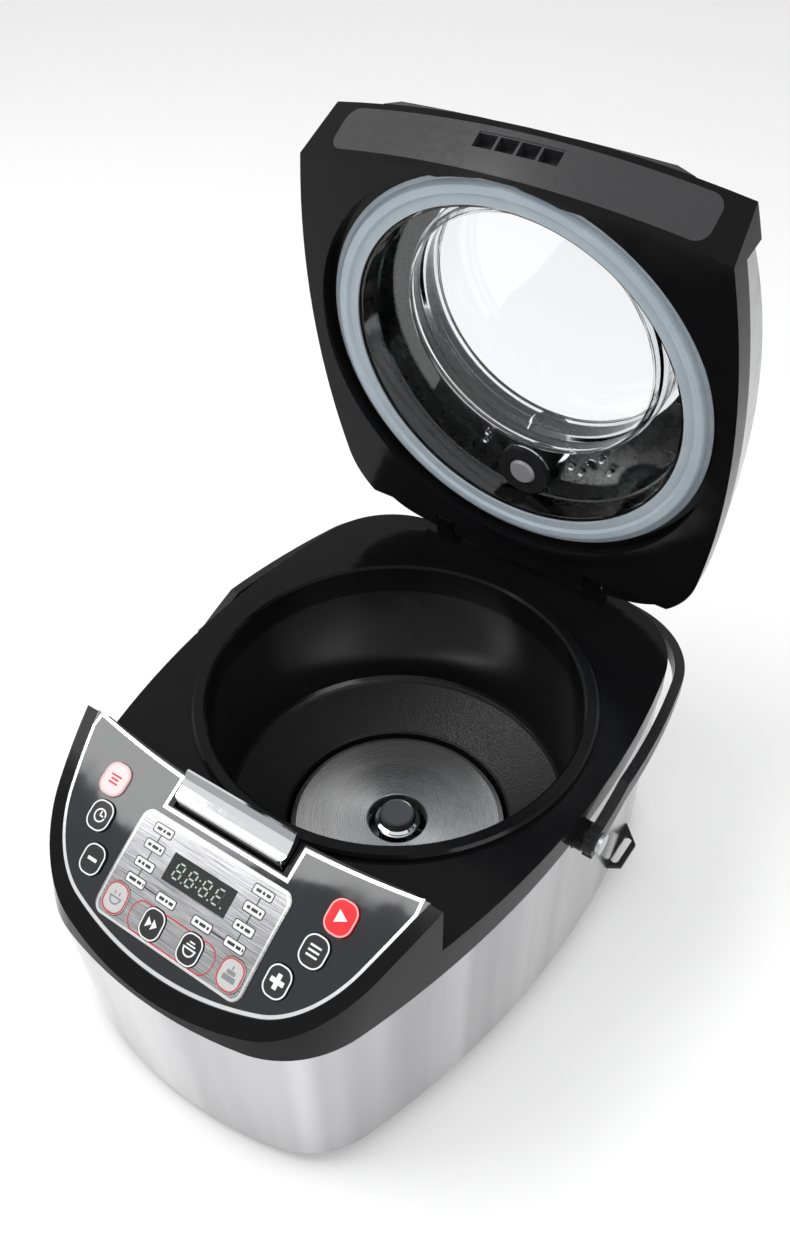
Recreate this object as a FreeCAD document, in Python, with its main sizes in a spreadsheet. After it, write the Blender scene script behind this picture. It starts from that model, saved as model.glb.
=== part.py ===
"""A family-size electric multi-cooker with a windowed, hinged lid, an empty pot well and a bail handle.

Frame: millimetres, +Z up, the front faces -Y. The origin is where the axis of the pot well meets the
floor. The lid stands open on its hinge and the handle is folded back, as the cooker is left for filling.
"""
import FreeCAD, Part
import math
import os
import Sketcher

V = FreeCAD.Vector
Turn = FreeCAD.Rotation
ALONG_X = Turn(V(0, 1, 0), 90)
UPRIGHT = Turn()

SIZES = {
    # body outline, seen from above: four large arcs with rounded corners
    "side_reach": 143.5, "side_radius": 560.0, "side_middle": 8.0,
    "front_reach": 237.0, "front_radius": 275.0,
    "rear_reach": 168.0, "rear_radius": 480.0,
    # heights above the floor
    "rim_height": 172.0, "deck_height": 167.5, "shell_low": 12.0,
    "seam_side": 150.0, "seam_front": 137.0,
    # pot well and heater
    "well_radius": 119.0, "bead_radius": 128.0,
    "plate_height": 39.0, "plate_radius": 76.2, "plate_hole": 20.9, "plate_thick": 10.0,
    # control panel: a barrel surface whose axis runs left to right
    "panel_radius": 411.4, "panel_axis_back": 32.2, "panel_axis_up": -171.9,
    "panel_thick": 1.2, "panel_border": 8.0,
    "notch_half": 41.8, "notch_front": -158.6,
    # lid, in its closed place, and its hinge
    "lid_middle": 2.0, "lid_low": 168.4, "lid_split": 184.0, "lid_high": 202.0,
    "lid_front_reach": 143.5, "lid_front_radius": 744.0, "lid_front_rake": 13.5,
    "hinge_back": 157.0, "hinge_up": 181.74, "lid_open": 80.28, "pin_radius": 2.5,
    "gasket_height": 176.7, "gasket_radius": 129.0,
    "window_forward": 14.3,
    # handle
    "pivot_forward": -14.0, "pivot_up": 145.0, "handle_inner": 147.5, "handle_thick": 6.5,
    "handle_side_gap": 4.6, "handle_rear_gap": 8.0, "handle_top": 167.0, "handle_slope": 0.07,
    "pivot_radius": 4.0,
}

doc = FreeCAD.newDocument("multi_cooker")
sheet = doc.addObject("Spreadsheet::Sheet", "Sizes")
made = {}


def fill_sheet():
    """One row per driving dimension: its name, and its value under an alias of that name."""
    for row, (name, amount) in enumerate(SIZES.items(), 1):
        sheet.set(f"A{row}", name)
        sheet.set(f"B{row}", str(amount))
        sheet.setAlias(f"B{row}", name)
    doc.recompute()


# ---------------------------------------------------------------- terms, placed primitives, booleans

def terms(amount):
    """A size is a number, a cell's name, or a tuple of those to add up; '-name' subtracts a cell."""
    return amount if isinstance(amount, tuple) else (amount,)


def number(amount):
    total = 0.0
    for term in terms(amount):
        if isinstance(term, str):
            total += -SIZES[term[1:]] if term.startswith("-") else SIZES[term]
        else:
            total += term
    return total


def formula(amount):
    words = []
    for term in terms(amount):
        if isinstance(term, str):
            words.append("-Sizes." + term[1:] if term.startswith("-") else "Sizes." + term)
        else:
            words.append(f"{term:.6f}")
    return " + ".join(words)


def tie(item, name, amount):
    """Bind a property to the sheet, or set it where the size is the piece's own."""
    if any(isinstance(term, str) for term in terms(amount)):
        item.setExpression(name, formula(amount))
    else:
        setattr(item, name, amount)


def stand(item, at, turn=UPRIGHT):
    """Place a primitive, with each coordinate that comes from the sheet bound to it."""
    item.Placement = FreeCAD.Placement(V(*[number(c) for c in at]), turn)
    for axis, amount in zip("xyz", at):
        if any(isinstance(term, str) for term in terms(amount)):
            item.setExpression(f"Placement.Base.{axis}", formula(amount))


def box(name, low, size, turn=UPRIGHT):
    item = doc.addObject("Part::Box", name)
    for side, amount in zip(("Length", "Width", "Height"), size):
        tie(item, side, amount)
    stand(item, low, turn)
    return item


def mid_box(name, middle, size, turn=UPRIGHT):
    """A box given by its middle; plain numbers only, so that it can be turned."""
    half = turn.multVec(V(*size) * 0.5)
    return box(name, tuple(V(*middle) - half), size, turn)


def cylinder(name, radius, height, at, turn=UPRIGHT):
    item = doc.addObject("Part::Cylinder", name)
    tie(item, "Radius", radius)
    tie(item, "Height", height)
    stand(item, at, turn)
    return item


def cone(name, low_radius, high_radius, height, at):
    if abs(number(low_radius) - number(high_radius)) < 1e-6:
        return cylinder(name, low_radius, height, at)
    item = doc.addObject("Part::Cone", name)
    tie(item, "Radius1", low_radius)
    tie(item, "Radius2", high_radius)
    tie(item, "Height", height)
    stand(item, at)
    return item


def common(name, *items):
    item = doc.addObject("Part::MultiCommon", name)
    item.Shapes = list(items)
    doc.recompute()
    return item


def fuse(name, *items):
    item = doc.addObject("Part::MultiFuse", name)
    item.Shapes = list(items)
    item.Refine = True
    doc.recompute()
    return item


def cut(name, base, *tools):
    tool = tools[0]
    if len(tools) > 1:
        tool = doc.addObject("Part::Compound", name + "_tools")
        tool.Links = list(tools)
    item = doc.addObject("Part::Cut", name)
    item.Base = base
    item.Tool = tool
    doc.recompute()
    return item


def group(name, items):
    """Identical small pieces that share one node."""
    item = doc.addObject("Part::Compound", name)
    item.Links = list(items)
    doc.recompute()
    return item


def rounded(name, base, radius, wanted):
    """Round the edges of base that wanted(edge) picks."""
    picked = [n for n, edge in enumerate(base.Shape.Edges, 1) if wanted(edge)]
    item = doc.addObject("Part::Fillet", name)
    item.Base = base
    item.Edges = [(n, radius, radius) for n in picked]
    doc.recompute()
    return item


def keep(name, item, turned_with_lid=False):
    """Register a finished sub-part. Its label is the name of its node."""
    item.Label = name
    if turned_with_lid:
        hinge = V(0, SIZES["hinge_back"], SIZES["hinge_up"])
        turn = Turn(V(1, 0, 0), -SIZES["lid_open"])
        swing = FreeCAD.Placement(hinge - turn.multVec(hinge), turn)
        item.Placement = swing.multiply(item.Placement)
    made[name] = item
    return item


# ---------------------------------------------------------------- sketches

def draw(sketch, outline):
    """A closed outline of straight runs, each corner held by two dimensions from the origin."""
    points = [V(number(a), number(b), 0) for a, b in outline]
    count = len(points)
    for n in range(count):
        sketch.addGeometry(Part.LineSegment(points[n], points[(n + 1) % count]), False)
    for n in range(count):
        sketch.addConstraint(Sketcher.Constraint("Coincident", n, 2, (n + 1) % count, 1))
    for n, corner in enumerate(outline):
        for kind, amount in zip(("DistanceX", "DistanceY"), corner):
            mark = sketch.addConstraint(Sketcher.Constraint(kind, -1, 1, n, 1, number(amount)))
            if any(isinstance(term, str) for term in terms(amount)):
                sketch.setExpression(f"Constraints[{mark}]", formula(amount))


def sketch_in(body, plane, outlines):
    sketch = body.newObject("Sketcher::SketchObject", body.Name + "_sketch")
    for datum in body.Origin.OriginFeatures:
        if datum.Role == plane:
            sketch.AttachmentSupport = [(datum, "")]
    sketch.MapMode = "FlatFace"
    for outline in outlines:
        draw(sketch, outline)
    doc.recompute()
    return sketch


def turned(name, outline, at=(0.0, 0.0, 0.0)):
    """A body of revolution about its own vertical axis, from (radius, height) corners."""
    body = doc.addObject("PartDesign::Body", name + "_body")
    sketch = sketch_in(body, "XZ_Plane", [outline])
    spin = body.newObject("PartDesign::Revolution", name + "_spin")
    spin.Profile = sketch
    spin.ReferenceAxis = (sketch, ["V_Axis"])
    spin.Angle = 360.0
    body.Tip = spin
    doc.recompute()
    if tuple(at) != (0.0, 0.0, 0.0):
        stand(body, at)
    return body


def slab(name, plane, outline, thick, middle=True):
    """A body padded from an outline in one of the three main planes."""
    body = doc.addObject("PartDesign::Body", name + "_body")
    sketch = sketch_in(body, plane, [outline])
    pad = body.newObject("PartDesign::Pad", name + "_pad")
    pad.Profile = sketch
    tie(pad, "Length", thick)
    if middle:
        pad.SideType = 2 if isinstance(pad.SideType, int) else "Symmetric"
    body.Tip = pad
    doc.recompute()
    return body


# ---------------------------------------------------------------- the outline that body and lid share

def plan(name, low, high, inset_low, inset_high, corner):
    """The outline as a solid between two heights. Each inset is (side, front, rear) from the outline,
    at the low and at the high end, so the walls can lean."""
    tall = (high, -number(low)) if isinstance(high, str) else number(high) - number(low)
    walls = []
    spots = (
        ("right", 0, ("side_reach", "-side_radius"), "side_middle", "side_radius"),
        ("left", 0, ("side_radius", "-side_reach"), "side_middle", "side_radius"),
        ("front", 1, 0.0, ("front_radius", "-front_reach"), "front_radius"),
        ("rear", 2, 0.0, ("rear_reach", "-rear_radius"), "rear_radius"),
    )
    for side, kind, x, y, radius in spots:
        walls.append(cone(f"{name}_{side}", (radius, -inset_low[kind]), (radius, -inset_high[kind]),
                          tall, (x, y, low)))
    block = common(name + "_block", *walls)
    span = number(high) - number(low)
    return rounded(name, block, corner, lambda edge: edge.BoundBox.ZLength > 0.9 * span)


def even(inset):
    return (inset, inset, inset)


def lid_plan(name, low, high, inset_low, inset_high, grow=0.0, corner=62.0):
    """The lid's outline: the body's, ended at the front by a shallow raked arc with cut-off corners.
    A positive grow moves the front edge and its cut corners outwards."""
    shape = plan(name + "_plan", low, high, inset_low, inset_high, corner)
    tall = number(high) - number(low)
    rake = SIZES["lid_front_rake"] / (SIZES["lid_high"] - SIZES["lid_low"])
    front_low = grow - rake * (SIZES["lid_high"] - number(low))
    front_high = grow - rake * (SIZES["lid_high"] - number(high))
    front = cone(name + "_front", ("lid_front_radius", front_low), ("lid_front_radius", front_high),
                 tall, (0.0, ("lid_middle", "-lid_front_reach", "lid_front_radius"), low))
    sides = []
    for hand in (-1, 1):
        turn = Turn(V(0, 0, 1), hand * 41.3)
        out = turn.multVec(V(0, -1, 0))
        edge = V(hand * 124.5, SIZES["lid_middle"] - 133.0, number(low) - 1) + out * grow
        corner_low = edge - turn.multVec(V(300, 0, 0))
        sides.append(box(f"{name}_cut_{'left' if hand < 0 else 'right'}",
                         tuple(corner_low), (600, 600, tall + 2), turn))
    return common(name, shape, front, *sides)


def panel_point(x, y, lift=0.0):
    """A place on the control panel and the tilt of its outward direction."""
    radius = SIZES["panel_radius"]
    tilt = math.asin((SIZES["panel_axis_back"] - y) / radius)  # the panel faces up and forward
    out = V(0, -math.sin(tilt), math.cos(tilt))
    up = SIZES["panel_axis_up"] + radius * math.cos(tilt)
    return V(x, y, up) + out * lift, Turn(V(1, 0, 0), math.degrees(tilt))


def barrel(name, radius):
    """The panel's barrel, as a solid cylinder lying across the cooker."""
    return cylinder(name, radius, 400.0, (-200.0, "panel_axis_back", "panel_axis_up"), ALONG_X)


def curved_sheet(name, bottom, top, outline):
    """A sheet that follows the panel between two distances above it, with the outline's plan."""
    outer = barrel(name + "_outer", ("panel_radius", top))
    inner = barrel(name + "_inner", ("panel_radius", bottom))
    return common(name, cut(name + "_skin", outer, inner), outline)


# ---------------------------------------------------------------- the body

def below_seam(name, drop, low):
    """A block under the line where the black frame meets the steel wrap, lowered by drop."""
    return slab(name, "YZ_Plane", [
        (-260.0, low), (200.0, low), (200.0, ("seam_side", -drop)),
        (-20.0, ("seam_side", -drop)), (-235.0, ("seam_front", -drop)), (-260.0, ("seam_front", -1.5 - drop)),
    ], 400.0)


def lid_room(name, low, grow):
    """The space that the closed lid takes up above the deck, grown by a clearance."""
    front = lid_plan(name + "_lid", low, 240.0, (-9.0, -9.0, -9.0), (-9.0, -9.0, -9.0), grow)
    return fuse(name, front, box(name + "_behind", (-200.0, -127.0 - grow, low), (400.0, 400.0, 80.0)))


# each key: middle across, middle back, width, length
KEY_SPOTS = {
    "key_cancel": (-79.6, -161.6, 17.0, 19.4), "key_preset": (-75.6, -179.9, 15.8, 17.8),
    "key_minus": (-65.8, -198.6, 15.0, 17.8), "key_rice": (-41.0, -207.0, 15.4, 17.6),
    "key_fast": (-13.4, -207.8, 14.6, 17.6), "key_porridge": (13.4, -207.8, 14.6, 17.6),
    "key_cake": (41.0, -207.0, 15.4, 17.6), "key_plus": (65.8, -198.6, 15.0, 17.8),
    "key_function": (75.6, -179.9, 15.8, 17.8), "key_start": (79.6, -161.6, 17.0, 19.4),
}
KEY_GAP = 0.45


def key_block(name, spot, grow, low, high):
    """A rounded block square to the panel at a key's place, between two distances above the panel."""
    x, y, wide, long = spot
    middle, turn = panel_point(x, y, (low + high) / 2)
    block = mid_box(name + "_box", middle, (wide + 2 * grow, long + 2 * grow, high - low), turn)
    doc.recompute()
    out = turn.multVec(V(0, 0, 1))
    return rounded(name, block, 0.42 * wide + grow,
                   lambda edge: abs(edge.tangentAt(edge.FirstParameter).dot(out)) > 0.99)


def screw(name, at, radius, long, head, turn=UPRIGHT):
    """A pan-head screw standing on its head: head below, shank above."""
    axis = turn.multVec(V(0, 0, 1))
    start = V(*at)
    parts = [cylinder(name + "_head", head, 2.0, tuple(start), turn),
             cylinder(name + "_shank", radius, long, tuple(start + axis * 1.9), turn)]
    return fuse(name, *parts)


def make_base():
    block = plan("base_outer", 0.0, 9.0, (9.0, 14.0, 9.0), (9.0, 14.0, 9.0), 50.0)
    ring = plan("base_ring", 9.0, 22.0, (4.6, 9.6, 5.6), (4.6, 9.6, 5.6), 55.0)
    room_low = plan("base_room_low", 9.0, 40.0, (12.0, 17.0, 12.0), (12.0, 17.0, 12.0), 47.0)
    room_high = plan("base_room_high", "shell_low", 40.0, (7.0, 12.0, 8.0), (7.0, 12.0, 8.0), 52.6)
    under = plan("base_under", -1.0, 6.0, (16.5, 21.5, 16.5), (16.5, 21.5, 16.5), 43.0)
    posts = []
    for n in range(3):
        angle = math.radians(90 + 120 * n)
        posts.append(cylinder(f"plate_post_{n}", 5.0, 20.4, (66 * math.cos(angle), 66 * math.sin(angle), 8.5)))
    for n, (x, y) in enumerate(((-52, -208), (52, -208), (-52, -142), (52, -142))):
        posts.append(cylinder(f"board_post_{n}", 3.5, 8.0, (x, y, 8.5)))
    for n, x in enumerate((-34, 34)):
        posts.append(box(f"sensor_post_{n}", (x - 5, -5, 8.5), (10, 10, 5.3)))
    shell = cut("base_shell", fuse("base_solid", block, ring), room_low, room_high, under)
    vents = [box(f"vent_{n}", (-40.0, -30.0 + 12 * n, 5.0), (80.0, 4.0, 5.0)) for n in range(6)]
    for n, (x, y) in enumerate(BASE_SCREWS):
        vents.append(cylinder(f"base_hole_{n}", 2.1, 20.0, (x, y, 0.0)))
    whole = cut("base_part", shell, *vents)
    keep("base_tray", fuse("base_tray", whole, *posts))
    pads = []
    for n, (x, y) in enumerate(((-86, -146), (86, -146), (-88, 108), (88, 108))):
        pads.append(cylinder(f"pad_{n}", 11.0, 5.9, (x, y, 0.0)))
    keep("rubber_feet", group("rubber_feet", pads))
    keep("base_screws", group("base_screws", [
        screw(f"base_screw_{n}", (x, y, 3.8), 2.0, 14.0, 4.0) for n, (x, y) in enumerate(BASE_SCREWS)]))


BASE_SCREWS = ((-104.0, -112.0), (104.0, -112.0), (-104.0, 84.0), (104.0, 84.0))


def make_shell():
    low, high = ("shell_low", 0.3), 152.0
    outer = plan("shell_outer", low, high, (3.0, 8.0, 4.0), (1.5, 2.2, 1.5), 57.0)
    inner = plan("shell_inner", low, high, (3.6, 8.6, 4.6), (2.1, 2.8, 2.1), 56.4)
    tube = cut("shell_tube", outer, inner)
    trimmed = common("shell_trimmed", tube, below_seam("shell_top", 0.4, 5.0))
    tools = [cylinder("pivot_gap", 10.3, 320.0, (-160.0, "pivot_forward", "pivot_up"), ALONG_X),
             box("inlet_gap", (-16.4, 140.0, 33.6), (32.8, 40.0, 24.8))]
    for n in range(8):
        tools.append(box(f"rear_vent_{n}", (-94.0 + 8 * n, 120.0, 60.0), (3.0, 60.0, 22.0)))
    keep("steel_shell", cut("steel_shell", trimmed, *tools))


def make_frame():
    lean = 0.2
    outer = plan("frame_outer", 130.0, 212.0, (0.0, 0.0, 0.0), (0.0, 82.0 * lean, 0.0), 62.0)
    band = cut("frame_band", outer, below_seam("frame_foot", 0.0, 100.0))
    lip = cut("frame_lip", plan("lip_block", 124.0, 160.0, (3.3, 5.0, 3.5), (3.3, 6.8, 3.5), 57.0),
              below_seam("lip_foot", 6.0, 90.0))
    solid = common("frame_capped", fuse("frame_whole", band, lip), barrel("frame_top", "panel_radius"))
    stepped = cut("frame_stepped", solid, lid_room("frame_step", "deck_height", 1.5),
                  *hump_ends("frame_end", 108.0, -136.5, "deck_height"))
    room = plan("room_block", 120.0, 212.0, (5.2, 5.0, 5.2), (5.2, 5.2 + 92 * lean, 5.2), 57.0)
    room = common("room_capped", room, barrel("room_top", ("panel_radius", -4.2)))
    room = cut("room_stepped", room, lid_room("room_step", ("deck_height", -3.0), 4.5),
               *hump_ends("room_end", 105.0, -139.5, ("deck_height", -3.0)))
    hollow = cut("frame_hollow", stepped, room)
    collar = turned("collar", [
        ("well_radius", 149.5), ("well_radius", ("rim_height", -1.6)), (("well_radius", 1.6), "rim_height"),
        (("bead_radius", -1.6), "rim_height"), ("bead_radius", ("rim_height", -1.6)),
        ("bead_radius", "deck_height"), ("bead_radius", ("deck_height", -3.0)),
        (("well_radius", 4.0), ("deck_height", -4.5)), (("well_radius", 4.0), 149.5)])
    extra = [collar]
    for hand in (-1, 1):
        side = "left" if hand < 0 else "right"
        start = 135.0 if hand > 0 else -146.6
        extra.append(cylinder(f"pivot_boss_{side}", 9.5, 11.6, (start, "pivot_forward", "pivot_up"), ALONG_X))
        extra.append(knuckle(f"frame_knuckle_{side}", hand * 60.0, 12.0, "deck_height"))
    well = cylinder("well_bore", "well_radius", 100.0, (0.0, 0.0, 120.0))
    joined = fuse("frame_joined", cut("frame_bored", hollow, well), *extra)
    floor = box("pocket_floor", (-44.0, -161.0, 181.0), (88.0, 24.0, 3.0))
    floor = common("pocket_floor_fit", floor, cut("pocket_floor_room", plan(
        "pocket_plan", 178.0, 190.0, even(3.0), even(3.0), 57.0), lid_room("pocket_step", 170.0, 1.6)))
    walls = [box(f"pocket_wall_{n}", (x, -160.5, 182.0), (2.0, 19.0, 10.0)) for n, x in enumerate((-41.0, 39.0))]
    walls.append(box("pocket_front", (-41.0, -160.5, 182.0), (82.0, 2.0, 10.0)))
    joined = fuse("frame_pocketed", joined, floor, *walls)
    tools = [
        box("button_room", (-38.8, -158.2, 184.0), (77.6, 60.0, 60.0)),
        box("hook_slot", (-13.0, -147.0, 175.0), (26.0, 20.0, 20.0)),
        box("stem_slot", (-5.0, -155.0, 175.0), (10.0, 6.0, 20.0)),
        cylinder("pivot_hole", ("pivot_radius", 0.05), 400.0, (-200.0, "pivot_forward", "pivot_up"), ALONG_X),
        cylinder("hinge_hole", ("pin_radius", 0.05), 160.0, (-80.0, "hinge_back", "hinge_up"), ALONG_X),
        panel_recess("panel_seat", -1.3, 30.0, 0.0),
        led_hole("led_gap", 0.4),
    ]
    tools += [key_block("frame_" + name, spot, KEY_GAP, -8.0, 3.0) for name, spot in KEY_SPOTS.items()]
    keep("top_frame", cut("top_frame", joined, *tools))


def hump_ends(name, start, rear, low):
    """Blocks that end the panel's hump beyond start across, so its rear corners stop at rear."""
    return [box(f"{name}_{side}", (x, rear, low), (60.0, 60.0, 80.0))
            for side, x in (("left", -start - 60.0), ("right", start))]


def knuckle(name, middle, wide, foot, radius=8.0):
    """A hinge knuckle on a short upright web."""
    start = (middle - wide / 2, "hinge_back", "hinge_up")
    barrel_part = cylinder(name + "_barrel", radius, wide, start, ALONG_X)
    low = (foot, -3.0)
    web = box(name + "_web", (middle - wide / 2, ("hinge_back", -radius), low),
              (wide, 2 * radius, ("hinge_up", "-" + foot, 3.0)))
    return fuse(name, barrel_part, web)


def panel_recess(name, bottom, top, shrink):
    """The membrane's place on the panel, between two distances above the surface."""
    border = SIZES["panel_border"] + shrink
    outline = plan(name + "_plan", 120.0, 240.0, (border, border - 2.6, border),
                   (border, border + 21.4, border), 52.0)
    outline = cut(name + "_ends", outline, lid_room(name + "_rear", 130.0, 2.6 + shrink),
                  box(name + "_notch", (("-notch_half", -shrink), ("notch_front", -shrink), 100.0),
                      (("notch_half", "notch_half", 2 * shrink), 100.0, 150.0)))
    return curved_sheet(name, bottom, top, outline)


def led_hole(name, grow):
    middle, turn = panel_point(0.0, -182.4, 0.0)
    return mid_box(name, middle, (44.0 + 2 * grow, 15.5 + 2 * grow, 18.0), turn)


def make_panel():
    sheet_part = panel_recess("panel_sheet", -1.2, 0.0, 0.15)
    tools = [key_block("panel_" + name, spot, KEY_GAP, -8.0, 3.0) for name, spot in KEY_SPOTS.items()]
    keep("control_panel", cut("control_panel", sheet_part, led_hole("panel_led", 0.2), *tools))
    block = box("plate_outline", (-52.3, -216.6, 120.0), (104.6, 52.4, 120.0))
    doc.recompute()
    block = rounded("plate_round", block, 6.0, lambda edge: edge.BoundBox.ZLength > 100)
    plate = curved_sheet("plate_sheet", 0.1, 0.7, block)
    tools = [key_block("plate_" + name, spot, KEY_GAP, -8.0, 3.0) for name, spot in KEY_SPOTS.items()
             if abs(spot[0]) < 60]
    keep("display_plate", cut("display_plate", plate, led_hole("plate_led", 0.2), *tools))
    middle, turn = panel_point(0.0, -182.4, -0.1)
    keep("display_window", mid_box("display_window", middle, (44.0, 15.5, 1.4), turn))
    for name, spot in KEY_SPOTS.items():
        cap = key_block(name + "_cap", spot, 0.0, -4.7, 1.3)
        middle, turn = panel_point(spot[0], spot[1], -5.1)
        flange = mid_box(name + "_flange", middle, (spot[2] + 1.6, spot[3] + 1.4, 1.0), turn)
        middle, turn = panel_point(spot[0], spot[1], -8.0)
        stem = cylinder(name + "_stem", 2.2, 2.6, tuple(middle), turn)
        keep(name, fuse(name, cap, flange, stem))


def make_control_board():
    middle, turn = panel_point(0.0, -185.0, -15.0)
    board = mid_box("board_sheet", middle, (176.0, 62.0, 1.6), turn)
    notch = box("board_notch", (-45.5, -157.0, 150.0), (91.0, 30.0, 50.0))
    keep("control_board", cut("control_board", board, notch))
    switches = []
    for name, spot in KEY_SPOTS.items():
        place, _ = panel_point(spot[0], spot[1], 0.0)
        away = (place - middle).dot(turn.multVec(V(0, 0, 1)))
        foot = place - turn.multVec(V(0, 0, 1)) * away + turn.multVec(V(0, 0, 1)) * 0.9
        tall = away - 0.9 - 9.1
        switches.append(mid_box("switch_" + name, foot + turn.multVec(V(0, 0, 1)) * (tall / 2),
                                (6.0, 6.0, tall), turn))
    keep("tact_switches", group("tact_switches", switches))
    middle, turn = panel_point(0.0, -182.4, -7.5)
    keep("led_module", mid_box("led_module", middle, (43.0, 14.5, 12.4), turn))


def make_release():
    top = slab("button_side", "YZ_Plane", [
        (-157.2, 189.0), (-144.6, 189.0), (-143.2, 204.0), (-142.8, 209.6), (-144.4, 210.2), (-147.0, 206.4),
        (-150.0, 203.4), (-153.2, 201.4), (-156.6, 200.4), (-157.6, 199.4)], 76.4)
    button = rounded("button_round", top, 4.0, lambda edge: abs(edge.BoundBox.ZLength) > 10
                     and abs(edge.BoundBox.YLength) < 1.0 and edge.BoundBox.XLength < 0.1)
    room = box("button_under", (-36.0, -155.6, 180.0), (72.0, 9.4, 14.0))
    stem = box("button_stem", (-4.2, -154.2, 176.0), (8.4, 4.4, 20.0))
    hook_room = box("button_hook_room", (-13.5, -147.0, 180.0), (27.0, 10.0, 14.5))
    keep("release_button", fuse("release_button", cut("button_shell", button, room, hook_room), stem))
    side = slab("hook_side", "YZ_Plane", [
        (-148.5, 164.5), (-143.5, 164.5), (-142.8, 170.0), (-140.2, 184.6), (-138.1, 185.2),
        (-138.6, 190.0), (-142.0, 190.4), (-146.0, 170.0)], 24.0)
    barrel_part = cylinder("hook_barrel", 4.6, 24.0, (-12.0, -146.0, 167.0), ALONG_X)
    pin_hole = cylinder("hook_bore", 1.55, 60.0, (-30.0, -146.0, 167.0), ALONG_X)
    keep("latch_hook", cut("latch_hook", fuse("hook_solid", side, barrel_part), pin_hole))
    keep("latch_pin", cylinder("latch_pin", 1.5, 40.0, (-20.0, -146.0, 167.0), ALONG_X))
    keep("latch_mounts", group("latch_mounts", [
        cut(f"latch_mount_{n}", box(f"latch_tab_{n}", (x, -150.5, 161.0), (3.5, 9.0, 19.8)),
            cylinder(f"latch_tab_hole_{n}", 1.52, 60.0, (-30.0, -146.0, 167.0), ALONG_X))
        for n, x in enumerate((-17.5, 14.0))]))
    keep("release_spring", coil("release_spring", 3.2, 0.6, 1.7, 5, (24.0, -151.0, 184.7)))


def coil(name, radius, wire, pitch, turns, at, turn=UPRIGHT):
    """A coil spring wound from round wire, its lower end at the given place."""
    path = doc.addObject("Part::Helix", name + "_path")
    path.Pitch = pitch
    path.Height = pitch * turns
    path.Radius = radius
    ring = doc.addObject("Part::Circle", name + "_wire")
    ring.Radius = wire
    ring.Placement = FreeCAD.Placement(V(radius, 0, 0), Turn(V(1, 0, 0), 90))
    doc.recompute()
    wound = doc.addObject("Part::Sweep", name)
    wound.Sections = [ring]
    wound.Spine = (path, [f"Edge{n}" for n in range(1, len(path.Shape.Edges) + 1)])
    wound.Solid = True
    wound.Frenet = True
    wound.Placement = FreeCAD.Placement(V(*at), turn)
    doc.recompute()
    return wound


# ---------------------------------------------------------------- the pot well and what heats it

def make_well():
    keep("inner_sleeve", turned("inner_sleeve", [
        (119.4, 149.0), (119.4, 62.0), (115.5, 57.0), (80.5, 41.4), (79.0, 40.0), (79.0, 34.0), (79.8, 34.0),
        (79.8, 39.6), (81.0, 40.7), (116.0, 56.3), (120.2, 61.7), (120.2, 148.2), (125.5, 148.2),
        (125.5, 149.0)]))
    plate = turned("plate_disc", [
        ("plate_hole", ("plate_height", "-plate_thick")), ("plate_hole", ("plate_height", -0.8)),
        (("plate_hole", 0.8), "plate_height"), (50.0, ("plate_height", -0.3)), (72.0, ("plate_height", 0.0)),
        (("plate_radius", -0.8), ("plate_height", -0.9)), ("plate_radius", ("plate_height", -2.6)),
        ("plate_radius", ("plate_height", -5.0)), (("plate_radius", -3.0), ("plate_height", "-plate_thick"))])
    holes = []
    for n in range(3):
        angle = math.radians(90 + 120 * n)
        holes.append(cylinder(f"plate_screw_hole_{n}", 1.8, 6.0, (66 * math.cos(angle), 66 * math.sin(angle), 28.0)))
    keep("heating_plate", cut("heating_plate", plate, *holes))
    ring = doc.addObject("Part::Torus", "heater_ring")
    ring.Radius1, ring.Radius2 = 50.0, 3.4
    ring.Placement = FreeCAD.Placement(V(0, 0, 25.5), UPRIGHT)
    ends = [cylinder(f"heater_end_{n}", 3.0, 9.0, (x, -49.0, 14.5)) for n, x in enumerate((-9.0, 9.0))]
    keep("heating_element", fuse("heating_element", ring, *ends))
    keep("sensor_sleeve", turned("sensor_sleeve", [
        (12.5, 24.0), (12.5, 38.6), (13.2, 40.0), (15.4, 39.2), (16.3, 37.6), (16.3, 36.5), (13.7, 36.5),
        (13.7, 24.0)]))
    keep("sensor_cap", turned("sensor_cap", [
        (0.0, 45.5), (10.4, 45.5), (11.2, 45.9), (12.0, 45.2), (12.0, 27.0), (11.2, 27.0), (11.2, 44.3),
        (3.0, 44.3), (3.0, 34.0), (0.0, 34.0)]))
    keep("sensor_spring", coil("sensor_spring", 6.5, 0.8, 4.4, 6, (0.0, 0.0, 16.9)))
    strap = box("strap", (-39.0, -8.0, 14.0), (78.0, 16.0, 1.4))
    tower = turned("strap_tower", [(0.0, 15.2), (0.0, 19.0), (4.6, 19.0), (4.6, 15.2)])
    rim = turned("strap_rim", [(12.6, 15.2), (12.6, 23.7), (13.7, 23.7), (13.7, 15.2)])
    keep("sensor_bracket", fuse("sensor_bracket", strap, tower, rim))
    keep("heat_shield", turned("heat_shield", [
        (127.0, 34.0), (127.0, 140.0), (127.8, 140.0), (127.8, 34.8), (133.0, 34.8), (133.0, 34.0)]))


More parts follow.
